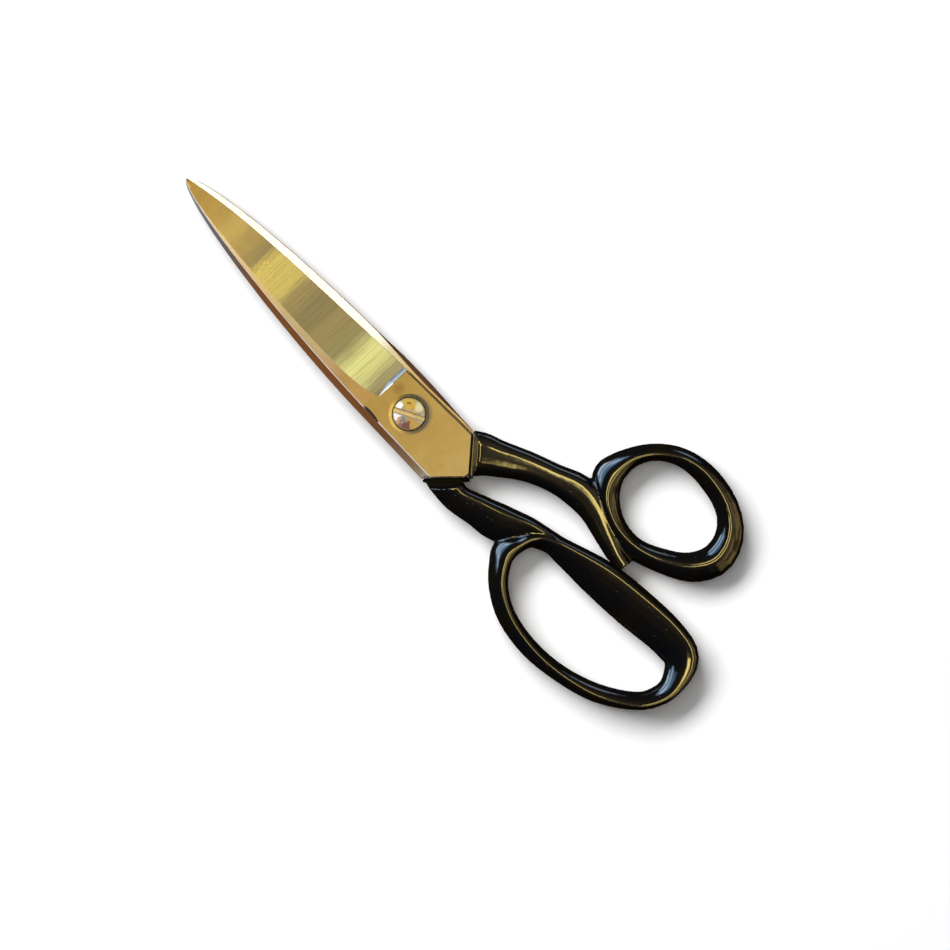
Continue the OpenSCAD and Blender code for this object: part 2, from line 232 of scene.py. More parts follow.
def makeRecess():
    # The sunk floor beside the plate, matt and grainy, with a near-black base colour that paints its deep shade
    material, tree, shader, place = newMaterial("blackEnamelRecessPaintedShade")
    grain = addNode(tree, "ShaderNodeTexNoise", {"Scale": 1 / (0.5 * mm), "Detail": 4.0},
                    {"Vector": place}).outputs["Fac"]
    # near-black tones: painted deep shade of the sunk floor
    surface = addNode(tree, "ShaderNodeValToRGB", {"stops": [(0.4, "#020202"), (0.7, "#050404")]},
                      {"Fac": grain})
    fill(tree, shader, {"Base Color": surface, "Roughness": 0.62, "Specular IOR Level": 0.04})
    bump = addNode(tree, "ShaderNodeBump", {"Strength": 0.5, "Distance": 0.05 * mm}, {"Height": grain})
    fill(tree, shader, {"Normal": bump.outputs["Normal"]})
    return material


def grindStreaks(tree, place, across, along, detail=3.0, lean=2.5):
    # streaks as fine as across mm and as long as along mm, running across the blade
    stretched = addNode(tree, "ShaderNodeMapping",
                        {"Scale": (1 / (across * mm), 1 / (along * mm), 1 / (along * mm)),
                         "Rotation": (0, 0, math.radians(lean))}, {"Vector": place})
    return addNode(tree, "ShaderNodeTexNoise", {"Scale": 1.0, "Detail": detail, "Roughness": 0.65},
                   {"Vector": stretched.outputs["Vector"]}).outputs["Fac"]


facetLook = {
    # painted reflections of the room on the ground facet along the blade, as [mm from the pivot, tone]
    "paintedReflectionBands": [(-115, "#c3a764"), (-103, "#b9a166"), (-97, "#b29f6b"), (-91, "#beae7a"), (-84, "#a99c72"),
              (-77, "#9a9176"), (-73.5, "#d3cb89"), (-63, "#d3cb88"), (-58.5, "#a59c7b"), (-51, "#948e75"),
              (-41, "#a59c7d"), (-34, "#9f9e7e"), (-25, "#effbc2"), (-20.5, "#e5eebb"), (-15.5, "#afae92")],
    "wander": 5.0,
}


def makeFacet():
    # Carbon steel ground across the blade on a coarse wheel: soft bands of painted reflection crossed by fine
    # streaks
    material, tree, shader, place = newMaterial("steelCrossGroundPaintedReflections")
    fine = grindStreaks(tree, place, 0.3, 40)
    coarse = grindStreaks(tree, place, 1.6, 11, 2.0, 5)
    along = addNode(tree, "ShaderNodeSeparateXYZ", links={"Vector": place}).outputs["X"]
    wander = addNode(tree, "ShaderNodeMath", {"operation": "MULTIPLY_ADD", 1: facetLook["wander"] * mm,
                                              2: -facetLook["wander"] / 2 * mm}, {0: coarse}).outputs[0]
    shifted = addNode(tree, "ShaderNodeMath", {"operation": "ADD"}, {0: along, 1: wander}).outputs[0]
    # tone along the blade: painted reflections of the room
    tone = toneAlong(tree, shifted, facetLook["paintedReflectionBands"], "EASE")
    streak = addNode(tree, "ShaderNodeValToRGB",
                     {"stops": [(0.3, "#b0a890"), (0.5, "#f4f0e6"), (0.75, "#ffffff")]}, {"Fac": fine})
    surface = addNode(tree, "ShaderNodeMix", {"data_type": "RGBA", "blend_type": "MULTIPLY", "Factor": 0.65,
                                              "A": tone, "B": streak})
    rough = addNode(tree, "ShaderNodeValToRGB", {"stops": [(0.3, 0.12), (0.7, 0.07)]}, {"Fac": fine})
    fill(tree, shader, {"Base Color": surface, "Metallic": 0.8, "Roughness": rough})
    bump = addNode(tree, "ShaderNodeBump", {"Strength": 0.2, "Distance": 0.02 * mm}, {"Height": fine})
    fill(tree, shader, {"Normal": bump.outputs["Normal"]})
    return material


polishLook = {
    # warm gold painted reflection on the buffed steel along the half, as [mm from the pivot, tone]
    "plate": [(-20, "#d3be7a"), (-10, "#cfb974"), (10, "#d4c07e"), (30, "#dac98c")],
    "smudge": "#a98a50", "paintedBoreShade": "#8a8478",
}


def hairlines(tree, place, turn):
    hair = addNode(tree, "ShaderNodeMapping", {"Scale": (1 / (14 * mm), 1 / (0.25 * mm), 1 / (0.25 * mm)),
                                               "Rotation": (0, 0, math.radians(turn))}, {"Vector": place})
    return addNode(tree, "ShaderNodeTexNoise", {"Scale": 1.0, "Detail": 3.0},
                   {"Vector": hair.outputs["Vector"]}).outputs["Fac"]


def makePlate():
    # Steel buffed on a soft wheel: a nearly mirror-like sheen with hairline scratches and one smudge; its gold
    # is a painted warm reflection and a grey crescent by the screw is painted shade
    material, tree, shader, place = newMaterial("steelBuffedPaintedWarmReflection")
    along = addNode(tree, "ShaderNodeSeparateXYZ", links={"Vector": place}).outputs["X"]
    # gold tone along the half: painted warm reflection
    tone = toneAlong(tree, along, polishLook["plate"])
    cloud = addNode(tree, "ShaderNodeTexNoise", {"Scale": 1 / (7 * mm), "Detail": 4.0},
                    {"Vector": place}).outputs["Fac"]
    overlay = addNode(tree, "ShaderNodeValToRGB", {"stops": [(0.3, "#e0d4bc"), (0.7, "#ffffff")]},
                      {"Fac": cloud})
    clouded = addNode(tree, "ShaderNodeMix", {"data_type": "RGBA", "blend_type": "MULTIPLY", "Factor": 0.35,
                                              "A": tone, "B": overlay})
    smudge = addSpot(tree, place, (-9.2, 3.6, 11.48), 1.8, 1.4)
    soiled = addNode(tree, "ShaderNodeMath", {"operation": "MULTIPLY", 1: 0.75}, {0: smudge}).outputs[0]
    smudged = addNode(tree, "ShaderNodeMix",
                      {"data_type": "RGBA", "Factor": soiled, "A": clouded, "B": polishLook["smudge"]})
    # grey crescent above and right of the screw: painted shade of the counterbore rim
    paintedBoreShade = addNode(tree, "ShaderNodeMath", {"operation": "MULTIPLY", 1: 0.6},
                   {0: addSpot(tree, place, (0.8, 1.1, 11.48), 6.9, 0.7)}).outputs[0]
    surface = addNode(tree, "ShaderNodeMix",
                      {"data_type": "RGBA", "Factor": paintedBoreShade, "A": smudged, "B": polishLook["paintedBoreShade"]})
    fill(tree, shader, {"Base Color": surface, "Metallic": 0.75})
    hairs = hairlines(tree, place, 78)
    rough = addNode(tree, "ShaderNodeValToRGB", {"stops": [(0.4, 0.05), (0.75, 0.1)]}, {"Fac": hairs})
    fill(tree, shader, {"Roughness": rough})
    bump = addNode(tree, "ShaderNodeBump", {"Strength": 0.12, "Distance": 0.01 * mm}, {"Height": hairs})
    fill(tree, shader, {"Normal": bump.outputs["Normal"]})
    return material


bandLook = {
    # painted reflection tone and share of mirror in the polished band along the blade
    "tones": [(-115, "#fff6e2"), (-66, "#f6e4b0"), (-55, "#d2c294"), (-40, "#c9b48a"), (-28, "#cbb384"),
              (-20, "#dcbe80")],
    "mirror": [(-115, 0.55), (-66, 0.7), (-52, 0.45), (-38, 0.4), (-24, 0.75), (-12, 0.75)],
}


def makeBand():
    # The narrow flat along the crown, finer than the facet, its tones a painted reflection: gold at the pivot,
    # whiter towards the tip
    material, tree, shader, place = newMaterial("steelSatinBandPaintedReflection")
    along = addNode(tree, "ShaderNodeSeparateXYZ", links={"Vector": place}).outputs["X"]
    hairs = hairlines(tree, place, 3)
    # tone along the blade: painted reflection
    tone = toneAlong(tree, along, bandLook["tones"])
    overlay = addNode(tree, "ShaderNodeValToRGB", {"stops": [(0.35, "#c8bca8"), (0.6, "#ffffff")]},
                      {"Fac": hairs})
    lined = addNode(tree, "ShaderNodeMix", {"data_type": "RGBA", "blend_type": "MULTIPLY", "Factor": 0.3,
                                            "A": tone, "B": overlay})
    mirror = toneAlong(tree, along, bandLook["mirror"])
    fill(tree, shader, {"Base Color": lined, "Metallic": mirror, "Roughness": 0.07})
    bump = addNode(tree, "ShaderNodeBump", {"Strength": 0.06, "Distance": 0.01 * mm}, {"Height": hairs})
    fill(tree, shader, {"Normal": bump.outputs["Normal"]})
    return material


# painted reflections along the spine; the lower list is a darker copy, painted shade for the lower half
spineLook = {"upper": [(-116, "#9aa4b4"), (-100, "#7d7a80"), (-84, "#75675e"), (-70, "#8a5628"),
                       (-20, "#945a28"), (0, "#8a5c34"), (14, "#a08060"), (18, "#b09a80"), (22, "#e0d8cc")],
             "lower": [(-116, "#8a8078"), (-60, "#6a4c34"), (-30, "#5a3a26"), (24, "#563624")]}


def makeSpine(name, tones):
    # The forged back of the blade, ground once; its tones are painted reflections of the room, blue-grey or
    # grey towards the tip, brown towards the pivot and pale by the handle
    material, tree, shader, place = newMaterial(name)
    along = addNode(tree, "ShaderNodeSeparateXYZ", links={"Vector": place}).outputs["X"]
    lines = hairlines(tree, place, 0)
    tone = toneAlong(tree, along, tones)
    overlay = addNode(tree, "ShaderNodeValToRGB", {"stops": [(0.35, "#9c8c80"), (0.65, "#ffffff")]},
                      {"Fac": lines})
    lined = addNode(tree, "ShaderNodeMix", {"data_type": "RGBA", "blend_type": "MULTIPLY", "Factor": 0.5,
                                            "A": tone, "B": overlay})
    rough = addNode(tree, "ShaderNodeValToRGB", {"stops": [(0.3, 0.5), (0.7, 0.36)]}, {"Fac": lines})
    fill(tree, shader, {"Base Color": lined, "Metallic": 0.25, "Roughness": rough})
    bump = addNode(tree, "ShaderNodeBump", {"Strength": 0.3, "Distance": 0.02 * mm}, {"Height": lines})
    fill(tree, shader, {"Normal": bump.outputs["Normal"]})
    return material


def makeBright():
    # Narrow bevels broken by hand with a fine stone: bare and silvery, with a near-white base colour that
    # paints their edge highlight
    material, tree, shader, place = newMaterial("steelEdgeStonedPaintedHighlight")
    lines = hairlines(tree, place, 0)
    surface = addNode(tree, "ShaderNodeValToRGB", {"stops": [(0.3, "#dfe3e8"), (0.6, "#ffffff")]},
                      {"Fac": lines})
    fill(tree, shader, {"Base Color": surface, "Metallic": 0.3, "Roughness": 0.3})
    return material


def makeStep():
    # The wall where the wheel ran out against the plate: curved, with a painted grey-blue reflection that ends
    # in a painted white highlight line at its edge
    material, tree, shader, place = newMaterial("steelWheelRunout")
    fine = grindStreaks(tree, place, 0.12, 6, 2.0, 0)
    along = addNode(tree, "ShaderNodeSeparateXYZ", links={"Vector": place}).outputs["X"]
    # dark grey to grey-blue painted reflection, ending in a painted white highlight line
    tone = toneAlong(tree, along, [(-13.8, "#5f6268"), (-12.9, "#8f99a6"), (-12.3, "#b4bcc8"),
                                   (-12.05, "#ffffff")])
    overlay = addNode(tree, "ShaderNodeValToRGB", {"stops": [(0.3, "#8c8c90"), (0.6, "#ffffff")]},
                      {"Fac": fine})
    surface = addNode(tree, "ShaderNodeMix", {"data_type": "RGBA", "blend_type": "MULTIPLY", "Factor": 0.35,
                                              "A": tone, "B": overlay})
    fill(tree, shader, {"Base Color": surface, "Metallic": 0.35, "Roughness": 0.32})
    return material


def makeScallop():
    # The scallop hollowed into the crown edge, smoother than the rest, with a blue-black base colour that
    # paints its reflection of the dark side of the room
    material, tree, shader, place = newMaterial("steelScallopDark")
    lines = hairlines(tree, place, 0)
    surface = addNode(tree, "ShaderNodeValToRGB", {"stops": [(0.35, "#1b2024"), (0.65, "#3c3e3a")]},
                      {"Fac": lines})
    fill(tree, shader, {"Base Color": surface, "Metallic": 0.6, "Roughness": 0.25})
    return material


def makeBore():
    # The wall of the counterbore, near-black as painted shade; the same dark also paints shade lines on the
    # plate's bevelled edges
    material, tree, shader, place = newMaterial("steelBorePaintedShade")
    boreShadeMottle = addNode(tree, "ShaderNodeTexNoise", {"Scale": 1 / (0.8 * mm), "Detail": 3.0},
                    {"Vector": place}).outputs["Fac"]
    surface = addNode(tree, "ShaderNodeValToRGB", {"stops": [(0.35, "#14110d"), (0.7, "#3a3024")]},
                      {"Fac": boreShadeMottle})
    fill(tree, shader, {"Base Color": surface, "Metallic": 0.2, "Roughness": 0.5})
    return material


innerLook = {"white": "#e4e6e8", "mottle": "#b8bab9",
             "paintedTanReflection": [(-21, "#a29f8c"), (-8, "#9a8760"), (22, "#9a8760")], "paintedPlateShade": "#3a2414"}


def makeInner():
    # The hollow inner face, ground across and left bright white, with a painted tan reflection towards the
    # pivot and a painted shade line beside the plate
    material, tree, shader, place = newMaterial("steelInnerFaceGround")
    mottle = grindStreaks(tree, place, 0.9, 1.8, 4.0)
    axes = addNode(tree, "ShaderNodeSeparateXYZ", links={"Vector": place})
    white = addNode(tree, "ShaderNodeValToRGB",
                    {"stops": [(0.36, innerLook["mottle"]), (0.54, innerLook["white"])]}, {"Fac": mottle})
    # tan tones towards the pivot: painted reflection
    paintedTanReflection = toneAlong(tree, axes.outputs["X"], innerLook["paintedTanReflection"])
    share = addNode(tree, "ShaderNodeMapRange", {"From Min": -30 * mm, "From Max": -21 * mm},
                    {"Value": axes.outputs["X"]})
    tanned = addNode(tree, "ShaderNodeMix", {"data_type": "RGBA", "Factor": share, "A": white, "B": paintedTanReflection})
    # a dark line beside the plate's edge, from the pivot on: painted shade cast by the plate
    lean = addNode(tree, "ShaderNodeMath", {"operation": "MULTIPLY_ADD", 1: -0.045},
                   {0: axes.outputs["X"], 2: axes.outputs["Y"]})
    besidePlate = toneAlong(tree, lean.outputs[0], [(9.4, 0.0), (9.9, 1.0), (10.9, 1.0), (11.25, 0.0)])
    nearPivot = toneAlong(tree, axes.outputs["X"], [(-13, 0.0), (-10, 1.0), (18, 1.0), (22, 0.6)])
    amount = addNode(tree, "ShaderNodeMix", {"data_type": "RGBA", "blend_type": "MULTIPLY", "Factor": 1.0,
                                             "A": besidePlate, "B": nearPivot})
    plateShaded = addNode(tree, "ShaderNodeMix",
                    {"data_type": "RGBA", "Factor": amount, "A": tanned, "B": innerLook["paintedPlateShade"]})
    fill(tree, shader, {"Base Color": plateShaded, "Metallic": 0.1, "Specular IOR Level": 0.3, "Roughness": 0.42})
    return material


screwLook = {
    # painted reflections on the screw head, as [centre, radius, softness, tone]
    "paintedReflections": [((-2.8, 2.7), 2.3, 0.7, "#bf9f45"), ((0.9, 4.5), 1.8, 0.6, "#cdc49c"), ((0.6, 2.0), 1.0, 0.4, "#b8955c"),
                ((-4.8, -1.2), 1.7, 0.4, "#f4f4f2"), ((-3.0, -3.9), 1.7, 0.4, "#ecebee"), ((4.4, 2.4), 1.1, 0.4, "#dedad0"),
                ((3.8, -1.2), 2.2, 0.6, "#b08e4e"), ((1.4, -1.6), 1.2, 0.5, "#ab8c54"), ((-1.0, -4.3), 1.1, 0.4, "#b8957c"),
                ((2.4, -3.6), 1.7, 0.4, "#6b4744"), ((0.6, -4.7), 0.9, 0.3, "#84645f"), ((-0.3, -2.7), 1.0, 0.3, "#6a7686"),
                ((-2.7, 2.6), 0.5, 0.25, "#7a5c28")],
    "head": "#9d9074", "slot": "#a08c64", "rubbed": "#8c8472", "shine": 0.08,
}


def makeScrewHead():
    # Turned steel worn by the driver, with gold, white, blue and pinkish patches painted as reflections of the
    # room
    material, tree, shader, place = newMaterial("steelScrewWornPaintedReflections")
    axes = addNode(tree, "ShaderNodeSeparateXYZ", links={"Vector": place})
    flat = addNode(tree, "ShaderNodeCombineXYZ",
                   links={"X": axes.outputs["X"], "Y": axes.outputs["Y"]}).outputs["Vector"]
    warp = addNode(tree, "ShaderNodeTexNoise", {"Scale": 1 / (1.9 * mm), "Detail": 4.0},
                   {"Vector": place}).outputs["Color"]
    pull = addNode(tree, "ShaderNodeVectorMath",
                   {"operation": "MULTIPLY_ADD", 1: (4.4 * mm,) * 3, 2: (-2.2 * mm, -2.2 * mm, 0)},
                   {0: warp}).outputs["Vector"]
    bent = addNode(tree, "ShaderNodeVectorMath", {"operation": "ADD"}, {0: flat, 1: pull}).outputs["Vector"]
    bentFlat = addNode(tree, "ShaderNodeVectorMath", {"operation": "MULTIPLY", 1: (1, 1, 0)},
                       {0: bent}).outputs["Vector"]
    colour = linear(screwLook["head"])
    # each patch is a painted reflection
    for (x, y), radius, softness, tone in screwLook["paintedReflections"]:
        isPatch = addSpot(tree, bentFlat, (x, y, 0), radius, softness)
        colour = addNode(tree, "ShaderNodeMix",
                         {"data_type": "RGBA", "Factor": isPatch, "A": colour, "B": tone})
    turn = math.radians(28.5)
    ragged = addNode(tree, "ShaderNodeMix",
                     {"data_type": "RGBA", "Factor": 0.12, "A": flat, "B": bentFlat})
    beside = addNode(tree, "ShaderNodeVectorMath",
                     {"operation": "DOT_PRODUCT", 1: (-math.sin(turn), math.cos(turn), 0)},
                     {0: ragged}).outputs["Value"]
    isRubbed = toneAlong(tree, beside, [(-1.4, 0.0), (-1.15, 0.9), (0.9, 0.9), (1.15, 0.0)])
    colour = addNode(tree, "ShaderNodeMix",
                     {"data_type": "RGBA", "Factor": isRubbed, "A": colour, "B": screwLook["rubbed"]})
    fill(tree, shader, {"Base Color": colour, "Metallic": screwLook["shine"], "Specular IOR Level": 0.15})
    scratch = hairlines(tree, place, 40)
    rough = addNode(tree, "ShaderNodeValToRGB", {"stops": [(0.35, 0.1), (0.7, 0.18)]}, {"Fac": scratch})
    fill(tree, shader, {"Roughness": rough})
    dents = addNode(tree, "ShaderNodeTexNoise", {"Scale": 1 / (1.8 * mm), "Detail": 2.0},
                    {"Vector": place}).outputs["Fac"]
    bump = addNode(tree, "ShaderNodeBump", {"Strength": 0.5, "Distance": 0.03 * mm}, {"Height": dents})
    fill(tree, shader, {"Normal": bump.outputs["Normal"]})
    return material


def makeSlot():
    # Floor of the driver slot, sawn and slightly rubbed: grey-tan with lines along the saw cut
    material, tree, shader, place = newMaterial("steelSlotSawn")
    lines = hairlines(tree, place, -28.5)
    surface = addNode(tree, "ShaderNodeValToRGB", {"stops": [(0.35, "#857a60"), (0.6, screwLook["slot"])]},
                      {"Fac": lines})
    fill(tree, shader, {"Base Color": surface, "Metallic": 0.1, "Specular IOR Level": 0.15,
                        "Roughness": 0.3})
    return material


def makeTurned():
    # Lathe-turned steel with fine rings around the axis
    material, tree, shader, place = newMaterial("steelTurned")
    axes = addNode(tree, "ShaderNodeSeparateXYZ", links={"Vector": place})
    flat = addNode(tree, "ShaderNodeCombineXYZ",
                   links={"X": axes.outputs["X"], "Y": axes.outputs["Y"]}).outputs["Vector"]
    radius = addNode(tree, "ShaderNodeVectorMath", {"operation": "LENGTH"}, {0: flat}).outputs["Value"]
    turns = addNode(tree, "ShaderNodeMath", {"operation": "MULTIPLY", 1: 1 / (0.15 * mm)}, {0: radius})
    rings = addNode(tree, "ShaderNodeTexNoise", {"noise_dimensions": "1D", "Scale": 1.0, "Detail": 3.0},
                    {"W": turns.outputs[0]})
    surface = addNode(tree, "ShaderNodeValToRGB", {"stops": [(0.3, "#a29d92"), (0.65, "#dcd8cf")]},
                      {"Fac": rings.outputs["Fac"]})
    fill(tree, shader, {"Base Color": surface, "Metallic": 1.0, "Roughness": 0.3})
    bump = addNode(tree, "ShaderNodeBump", {"Strength": 0.3, "Distance": 0.02 * mm},
                   {"Height": rings.outputs["Fac"]})
    fill(tree, shader, {"Normal": bump.outputs["Normal"]})
    return material


enamel = makeEnamel()
recess = makeRecess()
facet = makeFacet()
plate = makePlate()
band = makeBand()
spine = makeSpine("steelSpinePaintedReflection", spineLook["upper"])
spineUnder = makeSpine("steelSpineShadedPaintedReflection", spineLook["lower"])
bright = makeBright()
step = makeStep()
scallop = makeScallop()
bore = makeBore()
inner = makeInner()
screwHead = makeScrewHead()
slotSteel = makeSlot()
turned = makeTurned()
print("materials made")

# Handles

castLook = {"voxel": 0.4, "smooth": 4, "rounds": 60, "recessTop": 7.25}


def evenOut(piece, rounds):
    # smooths the rings without thinning them, by turns in and out, and leaves the root and lug alone
    group = piece.vertex_groups.new(name="rings")
    for vertex in piece.data.vertices:
        at = vertex.co / mm
        away = min((at.x - 34) / 8, math.dist((at.x, at.y), (91.5, 18.5)) / 3 - 1.2)
        if away > 0:
            group.add([vertex.index], min(1.0, away), "REPLACE")
    for turn in range(rounds):
        applyModifier(piece, "SMOOTH", factor=0.6, iterations=1, vertex_group="rings")
        applyModifier(piece, "SMOOTH", factor=-0.62, iterations=1, vertex_group="rings")
    piece.vertex_groups.clear()


def roundRing(piece, centre, reach, free, order):
    # takes the flats out of a ring: shifts it in or out, seen from above, towards two smooth outlines
    mesh = piece.data
    points = np.empty(len(mesh.vertices) * 3)
    mesh.vertices.foreach_get("co", points)
    points = points.reshape(-1, 3) / mm
    gap = points[:, :2] - centre
    radius, angle = np.hypot(*gap.T), np.degrees(np.arctan2(gap[:, 1], gap[:, 0])) % 360
    bins = (angle // 3).astype(int)
    turns = np.radians(np.arange(120) * 3 + 1.5)
    waves = np.stack([f(n * turns) for n in range(order + 1) for f in (np.cos, np.sin)], 1)
    inside = np.array([radius[(bins == n) & (radius < reach)].min() for n in range(120)])
    outside = np.array([radius[(bins == n) & (radius < reach)].max() for n in range(120)])
    fade = np.clip(1 - (np.abs((np.degrees(turns) - free[0] + 180) % 360 - 180) - free[1]) / 15, 0, 1)
    shifts = []
    for outline, share in ((inside, np.ones(120)), (outside, fade)):
        root = np.sqrt(share)[:, None]
        fit = waves @ np.linalg.lstsq(waves * root, outline * root[:, 0], rcond=0.001)[0]
        shift = (fit - outline) * share
        shifts.append(sum(np.roll(shift, n) for n in (-1, 0, 1)) / 3)
    place = (angle / 3 - 0.5) % 120
    low, part = place.astype(int) % 120, place % 1
    inner, outer, first, last = (a[low] * (1 - part) + a[(low + 1) % 120] * part
                                 for a in (*shifts, inside, outside))
    through = np.clip((radius - first) / np.maximum(last - first, 4), 0, 1)
    move = (inner * (1 - through) + outer * through) * np.clip((reach + 4 - radius) / 4, 0, 1)
    points[:, :2] += gap * (move / np.maximum(radius, 1))[:, None]
    mesh.vertices.foreach_set("co", (points * mm).ravel())
    mesh.update()
    print(piece.name, "ring moved by at most", round(float(np.abs(move).max()), 2), "mm")


def makeHandle(nodeName, pieceName, body, isRecess, ring=None):
    # the cast handle, as one skin with softened crests
    piece = copyNode(nodeName, pieceName)
    applyModifier(piece, "REMESH", mode="VOXEL", voxel_size=castLook["voxel"] * mm, use_smooth_shade=True)
    applyModifier(piece, "SMOOTH", factor=0.5, iterations=castLook["smooth"])
    evenOut(piece, castLook["rounds"])
    if ring:
        roundRing(piece, *ring)
    bpy.ops.object.shade_smooth()
    piece.data.materials.clear()
    piece.data.materials.append(enamel)
    piece.data.materials.append(recess)
    for face in piece.data.polygons:
        face.material_index = 1 if isRecess(face.center / mm) else 0
    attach(piece, body)
    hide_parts(nodeName)
    print(pieceName, len(piece.data.polygons), "faces")
    return piece


makeHandle("thumb_handle", "thumbHandle", "thumb_half", lambda at: False,
           ((88.4, 43.5), 33, (67.5, 112), 4))
makeHandle("finger_handle", "fingerHandle", "finger_half",
           lambda at: castLook["recessTop"] > at.z > 2.5 and math.hypot(at.x - 12, at.y + 4) < 20.6)

# Blades

bladeLook = {"facing": 0.2, "cutSide": 0.42, "honing": 0.12, "stripEdge": 0.25, "joint": 7.28, "top": 11.48}


def makeBlade(nodeName, pieceName, body, pickMaterial):
    # the steel half, with its flats merged and every face given the finish of its place
    piece = copyNode(nodeName, pieceName)
    mergeFlats(piece)
    piece.data.materials.clear()
    for material in (plate, facet, spine, bright, inner, band, step, scallop, bore, spineUnder):
        piece.data.materials.append(material)
    for face in piece.data.polygons:
        face.material_index = pickMaterial(face.center / mm, face.normal)
    return piece


def finishBlade(piece, nodeName, body):
    selectOnly(piece)
    bpy.ops.object.shade_smooth_by_angle(angle=math.radians(5))
    applyModifier(piece, "WEIGHTED_NORMAL", keep_sharp=True, weight=60)
    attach(piece, body)
    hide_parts(nodeName)
    print(piece.name, len(piece.data.polygons), "faces")


def thumbFinish(at, normal):
    # 0 plate, 1 facet, 2 spine, 3 stoned bevels, 4 inner face, 5 band, 6 wheel runout, 7 scallop, 8 bore
    if normal.z < -0.5:
        return 4
    if math.hypot(at.x, at.y) < 6.4 and (abs(normal.z) < 0.5 or at.z < bladeLook["top"] - 0.4):
        return 8
    if at.x < -11.9 and at.x > -14 and normal.x < -0.15:
        return 6
    if at.x < -13 and normal.y > 0.05 and normal.z > 0.5:
        return 1
    if at.y < -8.5 and abs(at.x + 10.2) < 4.8 and -0.05 > normal.y > -0.5 and normal.z > 0.9:
        return 7
    along = max(0.0, -13.6 - at.x) / 101.9
    thick = 4.2 - 3.3 * along
    if normal.y < -0.1 and math.hypot(at.x, at.y) > 9:
        return 3 if (at.z - bladeLook["joint"]) / thick > 0.88 else 2
    if at.x < -11.9:
        return 5
    return 0


def fingerFinish(at, normal):
    # all but the inner face take the darker spine copy: painted reflection and painted shade
    if normal.z > 0.9:
        return 4
    return 9


thumbBlade = makeBlade("thumb_blade", "thumbBlade", "thumb_half", thumbFinish)
# the plate's top edges by the pivot and handle, bevelled and given the bore's painted shade as a dark line
bevelEdges(thumbBlade, lambda at, a, b: at.x > -12.2 and at.z > 11.2 and math.hypot(at.x, at.y) > 8 and
           min(a.z, b.z) < 0.5 and 9.4 > at.y > -9, bladeLook["facing"], 2, 8)
# the facet's cutting edge, bevelled and given the dark spine finish as a painted gap shadow line
bevelEdges(thumbBlade,
           lambda at, a, b: -112 < at.x < -14 and at.y > 0 and max(a.y, b.y) > 0.9 and max(a.z, b.z) > 0.9,
           bladeLook["honing"], 1, 2)
# the plate's edge beside the other blade, given the bore's painted shade as the dark gap line
bevelEdges(thumbBlade, lambda at, a, b: -11 < at.x < 20 and at.y > 9.4 and at.z > 11.2 and max(a.z, b.z) > 0.95,
           bladeLook["cutSide"], 2, 8)
finishBlade(thumbBlade, "thumb_blade", "thumb_half")
fingerBlade = makeBlade("finger_blade", "fingerBlade", "finger_half", fingerFinish)
# the inner face's outer edge, given the darker spine copy as a painted dark outline
bevelEdges(fingerBlade, lambda at, a, b: -112 < at.x < 19 and at.y > 1 and max(a.z, b.z) > 0.95 and at.z > 7.1,
           bladeLook["stripEdge"], 2, 9)
finishBlade(fingerBlade, "finger_blade", "finger_half")

# Fasteners


def makeFastener(nodeName, pieceName, palette, pickMaterial, width):
    # a turned part with its edges broken
    piece = copyNode(nodeName, pieceName)
    mergeFlats(piece)
    piece.data.materials.clear()
    for material in palette:
        piece.data.materials.append(material)
    for face in piece.data.polygons:
        face.material_index = pickMaterial(face.center / mm, face.normal)
    bevelEdges(piece, lambda at, a, b: a.angle(b) > 0.6, width, 2, len(palette) - 1)
    bpy.ops.object.shade_smooth_by_angle(angle=math.radians(32))
    applyModifier(piece, "WEIGHTED_NORMAL", keep_sharp=True, weight=60)
    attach(piece, "finger_half")
    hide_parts(nodeName)
    return piece


makeFastener("pivot_screw", "pivotScrew", [turned, screwHead, slotSteel],
             lambda at, normal: 0 if normal.z <= 0.5 or at.z <= 10.5 else (1 if at.z > 11.3 else 2), 0.09)
for nodeName, pieceName in (("tension_washer", "tensionWasher"), ("lock_washer", "lockWasher"),
                            ("pivot_nut", "pivotNut")):
    makeFastener(nodeName, pieceName, [turned], lambda at, normal: 0, 0.05)
print("fasteners made")

# Floor, light and camera

stageLook = {"floor": 6.0, "tone": "#ffffff"}
bpy.ops.mesh.primitive_plane_add(size=stageLook["floor"], location=(0, 0, -0.0001))
floor = bpy.context.active_object
floor.name = "paleFloor"
bpy.ops.object.transform_apply(location=True)
paper = bpy.data.materials.new("paperFloor")
paper.use_nodes = True
paper.node_tree.nodes["Principled BSDF"].inputs["Base Color"].default_value = linear(stageLook["tone"])
paper.node_tree.nodes["Principled BSDF"].inputs["Roughness"].default_value = 0.9
paper.node_tree.nodes["Principled BSDF"].inputs["Specular IOR Level"].default_value = 0.0
floor.data.materials.append(paper)
floor.visible_glossy = False

target = Vector((0.03, 0.01, 0.005))


def addLamp(name, azimuth, tilt, distance, width, depth, power):
    # a soft white panel, tilt degrees from straight above, aimed at the shears, not mirrored in them
    a, t = math.radians(azimuth), math.radians(tilt)
    way = Vector((math.cos(a) * math.sin(t), math.sin(a) * math.sin(t), math.cos(t)))
    data = bpy.data.lights.new(name, "AREA")
    data.shape = "RECTANGLE"
    data.size = width
    data.size_y = depth
    data.energy = power
    lamp = bpy.data.objects.new(name, data)
    bpy.context.scene.collection.objects.link(lamp)
    lamp.location = target + way * distance
    lamp.rotation_mode = "QUATERNION"
    lamp.rotation_quaternion = way.to_track_quat("Z", "Y")
    lamp.visible_camera = False
    lamp.visible_glossy = False
    return lamp


addLamp("keyLamp", 178, 44, 3.0, 2.8, 1.2, 124)
addLamp("fillLamp", 0, 0, 4.0, 3.8, 3.8, 52)

